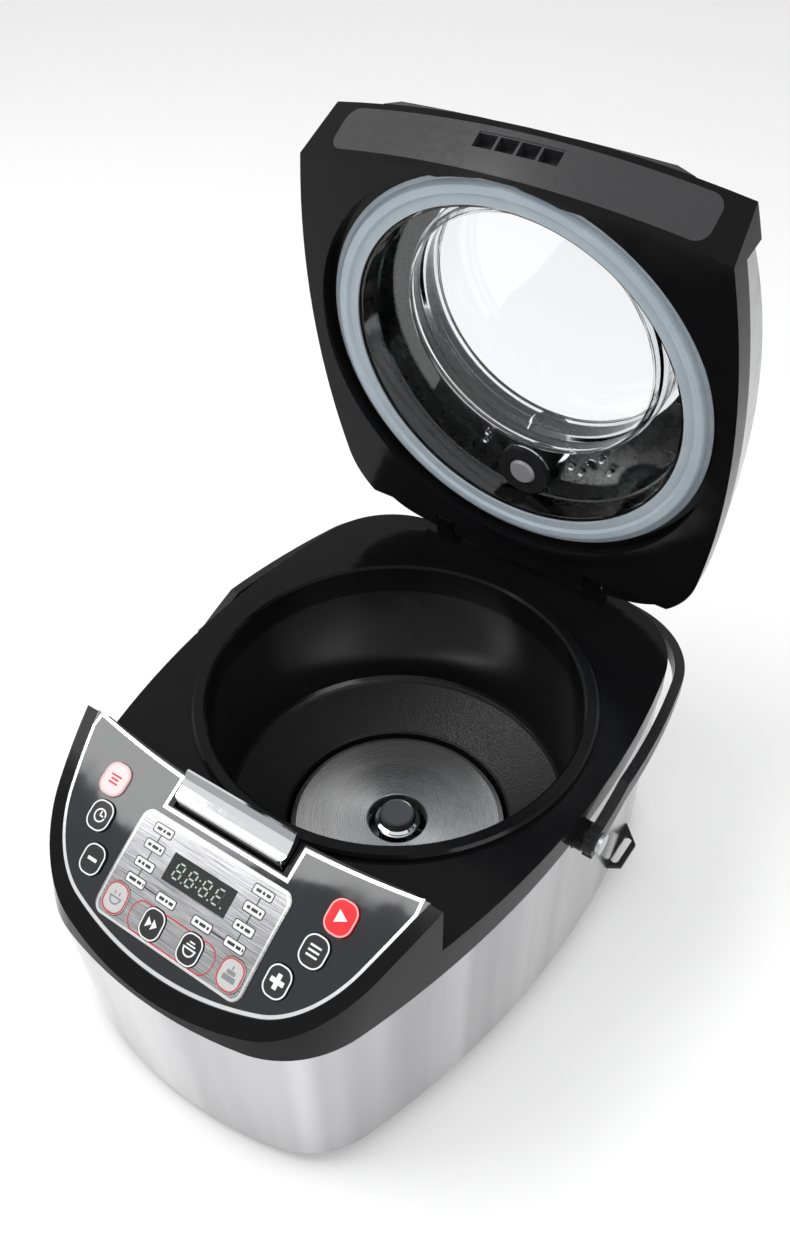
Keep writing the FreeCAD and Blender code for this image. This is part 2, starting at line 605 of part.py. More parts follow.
def make_electrics():
    keep("power_board", box("power_board", (-58.0, -214.0, 16.7), (116.0, 78.0, 1.6)))
    parts = [
        box("relay", (-50.0, -205.0, 18.4), (28.0, 13.0, 16.0)),
        box("transformer", (-10.0, -206.0, 18.4), (34.0, 30.0, 28.0)),
        cylinder("capacitor", 9.0, 26.0, (40.0, -190.0, 18.4)),
        box("film_capacitor", (-48.0, -180.0, 18.4), (26.0, 10.0, 17.0)),
        box("heat_sink", (-46.0, -160.0, 18.4), (60.0, 4.0, 30.0)),
        cylinder("small_capacitor", 5.0, 14.0, (34.0, -160.0, 18.4)),
    ]
    doc.recompute()
    keep("board_parts", group("board_parts", parts))
    keep("thermal_fuse", cylinder("thermal_fuse", 2.5, 16.0, (-8.0, 36.0, 25.6), ALONG_X))
    block = box("inlet_block", (-16.0, 133.6, 34.0), (32.0, 29.8, 24.0))
    flange = box("inlet_flange", (-19.0, 157.2, 31.0), (38.0, 2.0, 30.0))
    socket = box("inlet_socket", (-12.2, 143.0, 38.0), (24.4, 40.0, 16.0))
    keep("power_inlet", cut("power_inlet", fuse("inlet_solid", block, flange), socket))
    pins = [mid_box(f"inlet_pin_{n}", (x, 149.7, z), (2.4, 13.2, 5.0))
            for n, (x, z) in enumerate(((-7.0, 44.0), (7.0, 44.0), (0.0, 49.0)))]
    doc.recompute()
    keep("inlet_pins", group("inlet_pins", pins))


def make_bracket():
    """The spoon holder: a flat half-hexagon tab with a slot, clipped on at the foot of the wrap."""
    outline = [(131.0, 52.0), (134.6, 52.0), (147.6, 60.5), (147.6, 82.5), (134.0, 96.0), (128.0, 96.0)]
    tab = slab("bracket_tab", "XY_Plane", outline, 3.0, False)
    tab.Placement = FreeCAD.Placement(V(0, 0, 25.0), UPRIGHT)
    slot = box("bracket_slot", (138.3, 63.0, 20.0), (5.6, 21.0, 12.0))
    ends = [cylinder(f"slot_end_{n}", 2.8, 12.0, (141.1, y, 20.0)) for n, y in enumerate((63.0, 84.0))]
    wall = plan("bracket_wall", "shell_low", 60.0, (2.9, 7.9, 3.9), (2.4, 5.5, 2.9), 57.0)
    keep("spoon_bracket", cut("spoon_bracket", tab, slot, wall, *ends))


# ---------------------------------------------------------------- the handle

def make_handle():
    slope = SIZES["handle_slope"]
    thick = SIZES["handle_thick"]
    wide = SIZES["handle_side_gap"]
    back = SIZES["handle_rear_gap"]
    loop = cut("handle_loop",
               plan("handle_outer", 100.0, 200.0, (-wide - thick, -40.0, -back - thick),
                    (-wide - thick, -40.0, -back - thick), 68.0),
               plan("handle_hole", 90.0, 210.0, (-wide, -50.0, -back), (-wide, -50.0, -back), 61.5))

    def top(y):
        return SIZES["handle_top"] - slope * (y - SIZES["pivot_forward"])

    profile = slab("handle_side", "YZ_Plane", [
        (-21.0, 136.5), (20.0, top(20) - 13.0), (120.0, top(120) - 11.0), (220.0, top(220) - 11.0),
        (220.0, top(220)), (20.0, top(20)), (-10.0, 154.5), (-21.0, 153.0)], 400.0)
    band = common("handle_band", loop, profile)
    inner = SIZES["handle_inner"]
    ears = []
    for n, start in enumerate((-inner - SIZES["handle_thick"], inner)):
        ears.append(cylinder(f"handle_ear_{n}", 9.0, "handle_thick",
                             (start, "pivot_forward", "pivot_up"), ALONG_X))
    bore = cylinder("handle_bore", ("pivot_radius", 0.05), 400.0,
                    (-200.0, "pivot_forward", "pivot_up"), ALONG_X)
    keep("bail_handle", cut("bail_handle", fuse("handle_solid", band, *ears), bore))
    pins = []
    for n, (start, head) in enumerate(((-154.6, -157.0), (136.6, 154.6))):
        pins.append(fuse(f"pivot_{n}",
                         cylinder(f"pivot_pin_{n}", "pivot_radius", 18.0,
                                  (start, "pivot_forward", "pivot_up"), ALONG_X),
                         cylinder(f"pivot_head_{n}", 6.6, 2.4,
                                  (head, "pivot_forward", "pivot_up"), ALONG_X)))
    keep("handle_pivots", group("handle_pivots", pins))


# ---------------------------------------------------------------- the lid, built closed and then opened

def dome(name, shrink):
    """The pillow shape of the lid above its split line."""
    walls = lid_plan(name + "_walls", "lid_split", 240.0, even(1.0 + shrink), even(11.0 + shrink), -shrink)
    ball = doc.addObject("Part::Sphere", name + "_ball")
    ball.Radius = 319.0 - shrink
    ball.Placement = FreeCAD.Placement(V(0, -5, -73.6), UPRIGHT)
    front = cylinder(name + "_brow", 167.5 - shrink, 400.0, (-200.0, -36.0, 71.8), ALONG_X)
    behind = box(name + "_behind", (-200.0, -36.0, 100.0), (400.0, 260.0, 200.0))
    return common(name, walls, ball, fuse(name + "_top", front, behind))


def hinge_gaps(name, reach):
    """Room around the frame's two hinge knuckles, all round the axis."""
    tools = []
    for hand in (-1, 1):
        tools.append(cylinder(f"{name}_{hand + 1}", reach, 14.4,
                              (hand * 60.0 - 7.2, "hinge_back", "hinge_up"), ALONG_X))
        tools.append(box(f"{name}_slot_{hand + 1}", (hand * 60.0 - 7.2, ("hinge_back", -reach), 150.0),
                         (14.4, 60.0, 32.0)))
    return tools


def make_lid_frame():
    skirt = lid_plan("lid_skirt", "lid_low", ("lid_split", -0.4), even(0.0), even(0.6))
    brow = common("lid_brow", lid_plan("lid_brow_plan", "lid_low", "lid_high", even(0.0), even(1.2)),
                  front_zone("brow_zone", -112.0))
    room_low = common("gasket_room", lid_plan("lid_room_low", 160.0, 176.4, even(3.6), even(3.6), -3.6),
                      cylinder("gasket_round", 134.0, 60.0, (0.0, "lid_middle", 150.0)))
    room_high = lid_plan("lid_room_high", 179.4, 240.0, even(3.2), even(3.2), -3.2)
    moat = cut("lid_moat", lid_plan("lid_moat_plan", 171.2, 180.0, even(3.2), even(3.2), -3.2),
               cylinder("moat_round", 136.6, 60.0, (0.0, "lid_middle", 150.0)),
               box("moat_rear", (-200.0, 130.0, 150.0), (400.0, 100.0, 60.0)))
    ring = turned("gasket_wall", [(111.0, 179.0), (111.0, 190.0), (113.0, 190.0), (113.0, 179.0)],
                  (0.0, "lid_middle", 0.0))
    mouth = cylinder("lid_mouth", 111.0, 60.0, (0.0, "lid_middle", 150.0))
    tray = cut("lid_tray", fuse("lid_block", skirt, brow), room_low, room_high, moat)
    rear = box("rear_relief", (-160.0, 144.0, 150.0), (320.0, 60.0, 24.6))
    lugs = [cut(f"lid_lug_{n}", knuckle_lid(f"lid_knuckle_{n}", x), hinge_room(f"lug_hole_{n}"))
            for n, x in enumerate((-75.0, -45.0, 45.0, 75.0))]
    catch = box("catch_gap", (-29.4, -160.0, 184.6), (58.8, 40.0, 11.0))
    bare = cut("lid_bare", fuse("lid_ringed", tray, ring), mouth, rear, catch, face_plate("face_seat", 1.3, 0.15),
               *hinge_gaps("frame_gap", 9.6))
    bare = cut("lid_over_bead", bare, cylinder("bead_room", ("bead_radius", 0.8), 12.9, (0.0, 0.0, 160.0)))
    hole = hinge_room("lid_pin_room")
    keep("lid_frame", cut("lid_frame", fuse("lid_hinged", bare, *lugs), hole), True)


def front_zone(name, rear):
    """Everything in front of a line across the closed lid."""
    return box(name, (-200.0, -200.0, 150.0), (400.0, 200.0 + rear, 80.0))


def face_plate(name, deep, gap):
    """The grey plate on the lid's raked front, deep millimetres into it, grown by a gap."""
    low, high = 172.6 - gap, 198.6 + gap
    outer = lid_plan(name + "_outer", low, high, even(-1.0), even(-1.0), 0.4 if gap else 0.0)
    inner = lid_plan(name + "_inner", low - 2.0, high + 2.0, even(-6.0), even(-6.0), -deep)
    window = box(name + "_window", (-112.0 - gap, -200.0, low), (224.0 + 2 * gap, 90.0, high - low))
    doc.recompute()
    window = rounded(name + "_round", window, 8.0, lambda edge: edge.BoundBox.YLength > 80)
    return common(name, cut(name + "_skin", outer, inner), window)


def hinge_room(name):
    return cylinder(name, ("pin_radius", 0.05), 220.0, (-110.0, "hinge_back", "hinge_up"), ALONG_X)


def knuckle_lid(name, middle):
    """One of the lid's knuckles, with a web forward into the lid."""
    ring = cylinder(name + "_ring", 6.6, 12.0, (middle - 6.0, "hinge_back", "hinge_up"), ALONG_X)
    web = box(name + "_web", (middle - 6.0, ("hinge_back", -14.0), 176.6), (12.0, 14.0, 6.6))
    return fuse(name, ring, web)


def make_lid_cover():
    shell = cut("cover_shell", dome("cover_outer", 0.0), dome("cover_inner", 2.4))
    window = (0.0, ("lid_middle", "-window_forward"), 150.0)
    tools = [cylinder("cover_window", 92.0, 120.0, window),
             cylinder("cover_valve", 18.0, 120.0, (-3.0, 93.0, 150.0)),
             cylinder("cover_lugs", 7.2, 172.0, (-86.0, "hinge_back", "hinge_up"), ALONG_X),
             box("cover_front", (-200.0, -200.0, 150.0), (400.0, 88.2, 52.3))]
    keep("lid_cover", cut("lid_cover", shell, *tools, *hinge_gaps("cover_gap", 9.6)), True)


def make_lid_front():
    """The grey face of the lid's front, with the row of pockets that the latch works through."""
    plate = cut("face_holed", face_plate("face", 1.2, 0.0),
                box("catch_hole", (-25.2, -200.0, 185.4), (50.5, 100.0, 9.4)))
    pockets = [box(f"catch_pocket_{n}", (-25.0 + 12.9 * n, -150.0, 186.2), (11.3, 19.0, 8.0)) for n in range(4)]
    block = cut("catch_block", box("catch_outer", (-29.0, -142.0, 185.0), (58.0, 14.4, 10.2)), *pockets)
    front = lid_plan("catch_plan", 180.0, 200.0, even(-6.0), even(-6.0), -0.6)
    keep("lid_front", fuse("lid_front", plate, common("catch_fit", block, front)), True)


def make_lid_inside():
    centre = (0.0, "lid_middle", 0.0)
    keep("gasket", group("gasket", [turned("gasket_ring", [
        (111.8, 176.1), (111.8, 174.6), (117.6, 174.6), (119.4, 172.9), (124.0, 172.9), (126.4, 175.4),
        ("gasket_radius", 175.7), ("gasket_radius", 176.1)], centre)]), True)
    shell = turned("clear_shell", [
        (0.0, 193.7), (0.0, 195.3), (108.6, 195.3), (110.6, 193.6), (110.6, 177.0), (109.2, 177.0),
        (109.2, 192.6), (108.0, 193.7)], centre)
    middle = (0.0, ("lid_middle", "-window_forward"), 150.0)
    tools = [cylinder("clear_window", 83.1, 80.0, middle),
             cylinder("clear_valve", 18.8, 80.0, (-3.0, 93.0, 150.0)),
             cylinder("clear_vent", 4.0, 80.0, (46.6, 68.0, 150.0))]
    bosses = [cylinder(f"clear_boss_{n}", r, 4.0, (x, y, 190.2))
              for n, (x, y, r) in enumerate(((33.0, 73.0, 2.6), (40.0, 75.0, 2.6), (54.0, 58.0, 2.6),
                                             (60.0, 66.5, 2.6), (-31.0, 77.0, 2.0), (-29.0, 69.5, 2.0)))]
    keep("clear_cover", fuse("clear_cover", cut("clear_cut", shell, *tools), *bosses), True)
    tube = turned("tube", [
        (84.4, 195.5), (83.4, 195.5), (83.4, 196.6), (84.8, 199.0), (84.8, 202.0), (86.5, 205.0),
        (86.5, 210.0), (84.7, 214.0), (84.7, 219.0), (86.0, 221.0), (86.0, 227.0), (85.4, 231.8), (87.0, 231.8),
        (87.0, 233.0), (91.5, 233.0), (91.5, 231.6), (88.6, 231.0), (88.6, 203.0), (86.4, 198.0)],
        (0.0, ("lid_middle", "-window_forward"), 0.0))
    keep("window_ring", group("window_ring", [tube]), True)
    lens = turned("lens", [(0.0, 232.0), (0.0, 234.0), (85.4, 234.0), (86.8, 233.2), (86.8, 232.0)],
                  (0.0, ("lid_middle", "-window_forward"), 0.0))
    keep("window_lens", group("window_lens", [lens]), True)
    body = turned("valve_tube", [
        (10.0, 190.0), (18.4, 190.0), (18.4, 197.0), (15.0, 197.0), (15.0, 228.0), (13.6, 230.0), (13.6, 232.5),
        (11.6, 232.5), (12.6, 227.0), (12.6, 193.0), (10.0, 193.0)], (-3.0, 93.0, 0.0))
    keep("steam_valve_body", group("steam_valve_body", [body]), True)
    plug = turned("plug", [(0.0, 188.6), (8.0, 188.6), (9.4, 190.4), (9.4, 196.0), (0.0, 196.0)], (-3.0, 93.0, 0.0))
    keep("steam_valve_plug", group("steam_valve_plug", [plug]), True)
    cap = turned("steam_top", [
        (6.0, 232.5), (6.0, 235.6), (12.0, 237.2), (16.4, 236.2), (17.4, 234.6), (17.4, 233.1), (13.6, 233.1),
        (13.6, 232.5)], (-3.0, 93.0, 0.0))
    keep("steam_cap", group("steam_cap", [cap]), True)
    keep("hinge_pin", cylinder("hinge_pin", "pin_radius", 168.0, (-84.0, "hinge_back", "hinge_up"), ALONG_X))


def finish():
    """Every piece is sound before any file is written."""
    for item in doc.Objects:
        if "Invalid" in item.State or "Error" in item.State:
            raise RuntimeError(f"{item.Name} did not compute")
    for name, item in made.items():
        if item.Shape.isNull() or not item.Shape.isValid() or not item.Shape.Solids:
            raise RuntimeError(f"{name} is not a sound solid")
    os.makedirs("parts", exist_ok=True)
    for name, item in made.items():
        item.Shape.exportStep(f"parts/{name}.step")


fill_sheet()
for make in (make_base, make_shell, make_frame, make_panel, make_control_board, make_release, make_well,
             make_electrics, make_bracket, make_handle, make_lid_frame, make_lid_cover, make_lid_front,
             make_lid_inside):
    make()
doc.recompute()
finish()
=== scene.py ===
"""Multi-function electric cooker, lid open: the looks of the CAD model.

Metres, +Z up, front at -Y. Places on the key panel are given in plan millimetres.
"""
import math

import bmesh
import bpy
from mathutils import Matrix, Vector


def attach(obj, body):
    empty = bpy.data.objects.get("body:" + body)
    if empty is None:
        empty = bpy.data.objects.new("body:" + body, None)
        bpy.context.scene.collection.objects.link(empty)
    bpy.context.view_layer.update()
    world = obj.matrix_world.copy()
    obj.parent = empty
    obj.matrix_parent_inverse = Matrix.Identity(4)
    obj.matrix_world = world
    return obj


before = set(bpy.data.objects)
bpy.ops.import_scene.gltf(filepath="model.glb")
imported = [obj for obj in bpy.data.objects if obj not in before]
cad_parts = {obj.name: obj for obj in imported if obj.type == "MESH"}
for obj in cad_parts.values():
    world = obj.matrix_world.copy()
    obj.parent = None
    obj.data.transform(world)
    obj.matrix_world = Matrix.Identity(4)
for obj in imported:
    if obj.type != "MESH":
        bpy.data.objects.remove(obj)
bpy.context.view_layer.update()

MM = 0.001


# ------------------------------------------------------------------ material helpers

class Look:
    """A Principled material and short ways to add texture nodes to it."""

    def __init__(self, name, colour, rough, metal=0.0, **sockets):
        self.mat = bpy.data.materials.new(name)
        self.mat.use_nodes = True
        self.tree = self.mat.node_tree
        self.shader = self.tree.nodes["Principled BSDF"]
        self.put("Base Color", (*colour, 1.0))
        self.put("Roughness", rough)
        self.put("Metallic", metal)
        for socket, value in sockets.items():
            self.put(socket.replace("_", " "), value)
        self.height = None

    def put(self, socket, value):
        self.shader.inputs[socket].default_value = value

    def add(self, kind, inputs=None, **settings):
        node = self.tree.nodes.new(kind)
        for name, value in settings.items():
            setattr(node, name, value)
        for name, value in (inputs or {}).items():
            if isinstance(value, bpy.types.NodeSocket):
                self.tree.links.new(value, node.inputs[name])
            else:
                node.inputs[name].default_value = value
        return node

    def link(self, output, socket):
        self.tree.links.new(output, self.shader.inputs[socket])

    def place(self, scale=(1, 1, 1)):
        """The piece's own coordinates in metres, stretched by scale."""
        where = self.add("ShaderNodeTexCoord").outputs["Object"]
        return self.add("ShaderNodeMapping", {"Vector": where, "Scale": scale}).outputs["Vector"]

    def noise(self, size, scale=(1, 1, 1), detail=3.0, rough=0.55):
        """Noise whose features are about size metres across."""
        return self.add("ShaderNodeTexNoise", {"Vector": self.place(scale), "Scale": 1.0 / size,
                                               "Detail": detail, "Roughness": rough}).outputs["Fac"]

    def spread(self, value, low, high, from_low=0.3, from_high=0.7):
        return self.add("ShaderNodeMapRange", {
            "Value": value, "From Min": from_low, "From Max": from_high,
            "To Min": low, "To Max": high}).outputs["Result"]

    def blend(self, factor, first, second):
        mix = self.add("ShaderNodeMix", data_type="RGBA")
        self.tree.links.new(factor, mix.inputs[0])
        for place, colour in ((6, first), (7, second)):
            if isinstance(colour, bpy.types.NodeSocket):
                self.tree.links.new(colour, mix.inputs[place])
            else:
                mix.inputs[place].default_value = (*colour, 1.0)
        return mix.outputs[2]

    def relief(self, height, depth, strength=1.0):
        """Bump from a 0 to 1 height, depth metres deep. Calls stack."""
        inputs = {"Height": height, "Distance": depth, "Strength": strength}
        if self.height is not None:
            inputs["Normal"] = self.height
        self.height = self.add("ShaderNodeBump", inputs).outputs["Normal"]
        self.link(self.height, "Normal")

    def uneven(self, size, low, high):
        """Roughness that wanders between two values."""
        self.link(self.spread(self.noise(size, detail=5.0), low, high), "Roughness")


def gloss_black(name="gloss_black", shine=0.13):
    look = Look(name, (0.004, 0.004, 0.0045), 0.12, IOR=1.46)
    look.put("Specular IOR Level", shine)
    look.link(look.blend(look.noise(0.05), (0.003, 0.003, 0.0035), (0.006, 0.006, 0.0065)), "Base Color")
    look.uneven(0.012, 0.09, 0.2)
    look.relief(look.noise(0.03, detail=1.0), 0.00012)
    return look.mat


def satin_black(name="satin_black", low=0.32, high=0.5):
    look = Look(name, (0.01, 0.01, 0.011), 0.4, IOR=1.46)
    look.put("Specular IOR Level", 0.2)
    look.link(look.blend(look.noise(0.02), (0.008, 0.008, 0.009), (0.015, 0.015, 0.016)), "Base Color")
    look.uneven(0.006, low, high)
    look.relief(look.noise(0.0006, detail=2.0), 0.00003)
    return look.mat


def mirror_steel():
    """Polished wrap: even light grey, with soft upright streaks of painted reflection in its colour."""
    look = Look("mirror_steel", (0.62, 0.62, 0.63), 0.2, 1.0)
    # painted reflection: wide upright bands, not grain, for the streaks of reflected light
    reflection_streaks = look.noise(0.035, (1, 1, 0.03), detail=2.0)
    grain = look.noise(0.0009, (1, 1, 0.02), detail=4.0)
    reflection_tone = look.spread(reflection_streaks, 0, 1)
    # painted reflection: the upright streaks lighten and darken the base colour in bands
    look.link(look.blend(reflection_tone, (0.38, 0.38, 0.39), (0.60, 0.60, 0.61)), "Base Color")
    look.link(look.spread(grain, 0.15, 0.25), "Roughness")
    look.relief(grain, 0.000004)
    return look.mat


def chrome():
    look = Look("bright_chrome", (0.86, 0.87, 0.88), 0.05, 1.0)
    look.link(look.spread(look.noise(0.004, detail=5.0), 0.03, 0.08), "Roughness")
    look.link(look.blend(look.noise(0.01), (0.82, 0.83, 0.84), (0.9, 0.9, 0.91)), "Base Color")
    return look.mat


def button_chrome():
    """Chrome, with the flat front wall of the button painted black as a dark reflection."""
    look = Look("button_chrome", (0.86, 0.87, 0.88), 0.06, 1.0)
    facing = look.add("ShaderNodeTexCoord").outputs["Normal"]
    forward = look.add("ShaderNodeVectorMath", {0: facing, 1: (0, -1, 0)}, operation="DOT_PRODUCT")
    # painted reflection: the faces turned to the front get a black, non-metallic colour in place of
    # chrome
    front = look.spread(forward.outputs["Value"], 0.0, 1.0, 0.80, 0.84)
    look.link(look.blend(front, (0.86, 0.87, 0.88), (0.006, 0.006, 0.007)), "Base Color")
    look.link(look.spread(front, 1.0, 0.0, 0.0, 1.0), "Metallic")
    look.link(look.spread(look.noise(0.004, detail=5.0), 0.04, 0.09), "Roughness")
    return look.mat


def galvanised():
    look = Look("zinc_plate", (0.55, 0.56, 0.57), 0.35, 1.0)
    look.link(look.blend(look.noise(0.004), (0.45, 0.46, 0.47), (0.66, 0.67, 0.68)), "Base Color")
    look.uneven(0.003, 0.25, 0.45)
    return look.mat


def membrane():
    look = Look("key_membrane", (0.006, 0.007, 0.009), 0.07, IOR=1.5)
    look.put("Specular IOR Level", 0.6)
    look.link(look.blend(look.noise(0.03), (0.005, 0.006, 0.008), (0.010, 0.011, 0.014)), "Base Color")
    look.uneven(0.02, 0.05, 0.12)
    look.relief(look.noise(0.022, detail=1.0), 0.0002)
    return look.mat


def brushed_plate():
    look = Look("brushed_display_plate", (0.34, 0.34, 0.35), 0.3, 0.85)
    grain = look.noise(0.00055, (0.02, 1, 1), detail=3.0, rough=0.7)
    look.link(look.blend(look.spread(grain, 0, 1), (0.16, 0.16, 0.17), (0.55, 0.55, 0.56)), "Base Color")
    look.link(look.spread(grain, 0.24, 0.42), "Roughness")
    look.relief(grain, 0.00002)
    return look.mat


def painted(name, colour, rough=0.3, dust=0.06):
    look = Look(name, colour, rough, Coat_Weight=0.3, Coat_Roughness=0.08)
    darker = tuple(c * (1 - dust) for c in colour)
    look.link(look.blend(look.noise(0.006), darker, colour), "Base Color")
    look.uneven(0.004, rough * 0.8, rough * 1.2)
    return look.mat


def silicone():
    look = Look("gasket_silicone", (0.50, 0.58, 0.66), 0.34, Transmission_Weight=0.25, IOR=1.42,
                Subsurface_Weight=0.35, Subsurface_Scale=0.01, Subsurface_Radius=(1.0, 1.1, 1.3))
    look.link(look.blend(look.noise(0.02), (0.42, 0.51, 0.60), (0.58, 0.66, 0.73)), "Base Color")
    look.uneven(0.004, 0.28, 0.42)
    look.relief(look.noise(0.001, detail=2.0), 0.00002)
    return look.mat


def clear_plastic(name="clear_plastic", rough=0.03):
    look = Look(name, (0.96, 0.97, 0.98), rough, Transmission_Weight=1.0, IOR=1.46)
    look.uneven(0.02, rough * 0.5, rough * 2.0)
    return look.mat


def well_coating():
    """Satin black liner: smooth wall, hammered finish on the sloping ring at the bottom."""
    look = Look("well_coating", (0.008, 0.008, 0.008), 0.3, 0.0, IOR=1.5)
    height = look.add("ShaderNodeSeparateXYZ", {"Vector": look.place()}).outputs["Z"]
    low_part = look.spread(height, 1.0, 0.0, 0.0585, 0.0600)
    dents = look.add("ShaderNodeTexVoronoi", {"Vector": look.place(), "Scale": 1100.0},
                     feature="SMOOTH_F1")
    bumps = look.add("ShaderNodeMath", {0: dents.outputs["Distance"], 1: low_part}, operation="MULTIPLY")
    look.relief(bumps.outputs["Value"], 0.00035)
    look.link(look.spread(low_part, 0.16, 0.36, 0.0, 1.0), "Roughness")
    look.put("Specular IOR Level", 0.3)
    look.link(look.blend(look.noise(0.03), (0.006, 0.006, 0.006), (0.011, 0.011, 0.011)), "Base Color")
    return look.mat


def spun_aluminium():
    """Fine rings round the plate's axis, from turning."""
    look = Look("spun_aluminium", (0.80, 0.80, 0.81), 0.26, 0.95, Anisotropic=0.8)
    length = look.add("ShaderNodeVectorMath", {0: look.place((1, 1, 0))}, operation="LENGTH")
    across = look.add("ShaderNodeCombineXYZ", {"X": length.outputs["Value"]}).outputs["Vector"]
    fine_rings = look.add("ShaderNodeTexNoise", {"Vector": across, "Scale": 2200.0, "Detail": 3.0})
    rings = fine_rings.outputs["Fac"]
    wave = look.add("ShaderNodeTexWave", {"Vector": across, "Scale": 260.0, "Distortion": 0.6})
    bands = wave.outputs["Fac"]
    look.link(look.blend(look.spread(rings, 0, 1), (0.62, 0.62, 0.63), (0.90, 0.90, 0.91)), "Base Color")
    look.link(look.spread(rings, 0.2, 0.34), "Roughness")
    look.relief(bands, 0.00003)
    turn = look.add("ShaderNodeTangent", direction_type="RADIAL", axis="Z").outputs["Tangent"]
    look.link(turn, "Tangent")
    return look.mat


def lid_silver():
    """Silver paint outside; the inner side of the moulding is bare dark plastic."""
    look = Look("lid_silver", (0.62, 0.63, 0.65), 0.28, 0.6, Coat_Weight=0.4, Coat_Roughness=0.1)
    facing = look.add("ShaderNodeTexCoord").outputs["Normal"]
    outward = look.add("ShaderNodeVectorMath", {0: facing, 1: tuple(LID_OUT)}, operation="DOT_PRODUCT")
    outside = look.spread(outward.outputs["Value"], 0.0, 1.0, 0.16, 0.2)
    flakes = look.blend(look.noise(0.0005), (0.46, 0.47, 0.49), (0.58, 0.59, 0.61))
    look.link(look.blend(outside, (0.015, 0.015, 0.016), flakes), "Base Color")
    look.link(look.spread(outside, 0.0, 0.6, 0.0, 1.0), "Metallic")
    look.uneven(0.01, 0.22, 0.34)
    return look.mat


OPEN = math.radians(80.28)
LID_OUT = Vector((0.0, math.sin(OPEN), math.cos(OPEN)))


def dress():
    """Every carried-over CAD node gets its material."""
    black, satin, zinc, bright = gloss_black(), satin_black(), galvanised(), chrome()
    clear = clear_plastic()
    looks = {
        "top_frame": black, "lid_frame": black, "steam_cap": black,
        "base_tray": satin, "spoon_bracket": satin,
        "bail_handle": satin_black("handle_black", 0.2, 0.34),
        "latch_mounts": satin, "power_inlet": satin, "steam_valve_body": satin,
        "steel_shell": mirror_steel(), "release_button": button_chrome(), "sensor_sleeve": bright,
        "sensor_cap": painted("sensor_face", (0.10, 0.10, 0.11), 0.2),
        "control_panel": membrane(), "display_plate": brushed_plate(),
        "display_window": painted("display_glass", (0.012, 0.014, 0.014), 0.08),
        "led_module": painted("led_block", (0.3, 0.3, 0.3), 0.4),
        "rubber_feet": satin_black("foot_rubber", 0.7, 0.9), "inner_sleeve": well_coating(),
        "heating_plate": spun_aluminium(), "gasket": silicone(), "lid_cover": lid_silver(),
        "lid_front": painted("lid_front_grey", (0.018, 0.018, 0.020), 0.22),
        "clear_cover": clear, "window_ring": clear, "window_lens": clear_plastic("window_clear", 0.02),
        "steam_valve_plug": painted("valve_grey", (0.25, 0.25, 0.26), 0.4),
        "inlet_pins": painted("brass_pins", (0.7, 0.5, 0.2), 0.3),
        "control_board": painted("board_green", (0.02, 0.12, 0.06), 0.4),
        "power_board": painted("power_board_green", (0.02, 0.12, 0.06), 0.4),
        "board_parts": satin, "key_cancel": painted("key_pale", (0.72, 0.50, 0.50), 0.25),
        "key_start": painted("key_red", (0.72, 0.01, 0.02), 0.14),
        "key_rice": painted("key_grey_left", (0.50, 0.50, 0.50), 0.3),
        "key_cake": painted("key_grey_right", (0.50, 0.50, 0.50), 0.3),
    }
    key_black = painted("key_black", (0.012, 0.012, 0.013), 0.12)
    for name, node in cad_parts.items():
        rest = key_black if name.startswith("key_") else zinc
        look = looks.get(name, rest)
        for spot in node.material_slots:
            spot.material = look
        if not node.material_slots:
            node.data.materials.append(look)


# ------------------------------------------------------------------ the control panel's print

PANEL_AXIS = Vector((0.0, 0.0322, -0.1719))
PANEL_RADIUS = 0.4114
DISCS = ((-0.4165, 0.008, 0.560), (0.4165, 0.008, 0.560), (0.0, 0.038, 0.275), (0.0, -0.312, 0.480))
KEYS = {
    "cancel": (-79.6, -161.6, 17.0, 19.4), "preset": (-75.6, -179.9, 15.8, 17.8),
    "minus": (-65.8, -198.6, 15.0, 17.8), "rice": (-41.0, -207.0, 15.4, 17.6),
    "fast": (-13.4, -207.8, 14.6, 17.6), "porridge": (13.4, -207.8, 14.6, 17.6),
    "cake": (41.0, -207.0, 15.4, 17.6), "plus": (65.8, -198.6, 15.0, 17.8),
    "function": (75.6, -179.9, 15.8, 17.8), "start": (79.6, -161.6, 17.0, 19.4),
}
LID_FRONT_RADIUS = 744.0  # the lid's front edge, which the panel's rear edge follows
KEY_TOP = 1.3  # millimetres above the panel
PLATE_TOP = 0.7
GLASS_TOP = 0.6
SINK = 0.2  # how far a printed line reaches below the surface it lies on
PLATE_MIDDLE = -190.45
DISPLAY_MIDDLE = -182.4


def tangent_place(x, y, lift):
    """Matrix of a place on the panel, given in plan millimetres; its Z points out of the panel."""
    tilt = math.asin((PANEL_AXIS.y - y * MM) / PANEL_RADIUS)
    out = Vector((0.0, -math.sin(tilt), math.cos(tilt)))
    up = PANEL_AXIS.z + PANEL_RADIUS * math.cos(tilt)
    spot = Vector((x * MM, y * MM, up)) + out * lift * MM
    return Matrix.Translation(spot) @ Matrix.Rotation(tilt, 4, "X")


def piece(name, bm, look, body):
    bmesh.ops.recalc_face_normals(bm, faces=bm.faces)
    mesh = bpy.data.meshes.new(name)
    bm.to_mesh(mesh)
    bm.free()
    item = bpy.data.objects.new(name, mesh)
    bpy.context.scene.collection.objects.link(item)
    mesh.materials.append(look)
    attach(item, body)
    return item


def rounded_loop(wide, tall, radius, middle=(0.0, 0.0), steps=6):
    loop = []
    for quarter, (sx, sy) in enumerate(((1, 1), (-1, 1), (-1, -1), (1, -1))):
        for n in range(steps + 1):
            angle = math.pi / 2 * (quarter + n / steps)
            loop.append((middle[0] + sx * (wide / 2 - radius) + radius * math.cos(angle),
                         middle[1] + sy * (tall / 2 - radius) + radius * math.sin(angle)))
    return loop


